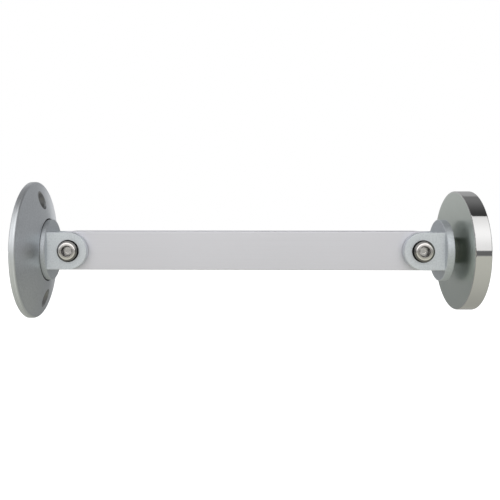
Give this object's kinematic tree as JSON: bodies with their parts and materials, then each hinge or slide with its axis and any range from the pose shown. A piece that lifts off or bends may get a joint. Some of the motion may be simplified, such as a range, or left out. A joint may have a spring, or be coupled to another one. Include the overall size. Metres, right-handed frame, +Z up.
{
  "type": "ladder stabilizer",
  "caption": "Articulated stay between a wall and a ladder: round wall flange, swivelling forks with socket-screw pivots, rectangular bar and a thick round disc.",
  "frame": {"origin": "centre of the wall flange's back face, which lies on the wall", "axes": "+X out from the wall along the bar to the ladder disc, +Y to the rear, the side of the pivot nuts, +Z up"},
  "size_m": [0.2876, 0.09, 0.09],
  "materials": {
    "flange_aluminium": "satin, turned, brushed round the rim",
    "fork_aluminium": "fine bead-blasted",
    "bar_aluminium": "satin anodised",
    "screw_steel": "polished stainless",
    "nut_steel": "plain stainless",
    "disc_steel": "polished stainless, mirror rim",
    "bush_steel": "turned",
    "washer_plastic": "dark grey acetal",
    "nut_nylon": "natural nylon"
  },
  "bodies": {
    "wall_plate": {"wall_flange": "flange_aluminium", "wall_swivel_screw": "screw_steel", "wall_swivel_washer": "washer_plastic"},
    "wall_knuckle": {"wall_fork": "fork_aluminium", "wall_pivot_screw": "screw_steel", "wall_pivot_nut": "nut_steel", "wall_nut_ring": "nut_nylon", "wall_front_washer": "washer_plastic", "wall_rear_washer": "washer_plastic"},
    "bar": {"bar_tube": "bar_aluminium", "wall_end_plug": "fork_aluminium", "ladder_end_plug": "fork_aluminium", "wall_pivot_bush": "bush_steel", "ladder_pivot_bush": "bush_steel"},
    "ladder_knuckle": {"ladder_fork": "fork_aluminium", "ladder_pivot_screw": "screw_steel", "ladder_pivot_nut": "nut_steel", "ladder_nut_ring": "nut_nylon", "ladder_front_washer": "washer_plastic", "ladder_rear_washer": "washer_plastic"},
    "ladder_pad": {"ladder_disc": "disc_steel", "ladder_swivel_screw": "screw_steel", "ladder_swivel_sleeve": "washer_plastic"}
  },
  "joints": [
    {"name": "wall_swivel", "type": "hinge", "parent": "wall_plate", "child": "wall_knuckle", "pos_m": [0.0091, 0, 0], "axis": [1, 0, 0], "continuous": true},
    {"name": "wall_pivot", "type": "hinge", "parent": "wall_knuckle", "child": "bar", "pos_m": [0.0277, 0, 0], "axis": [0, 1, 0], "range_deg": [-90, 90]},
    {"name": "ladder_pivot", "type": "hinge", "parent": "bar", "child": "ladder_knuckle", "pos_m": [0.2537, 0, 0], "axis": [0, 1, 0], "range_deg": [-90, 90]},
    {"name": "disc_swivel", "type": "hinge", "parent": "ladder_knuckle", "child": "ladder_pad", "pos_m": [0.2723, 0, 0], "axis": [1, 0, 0], "continuous": true}
  ]
}
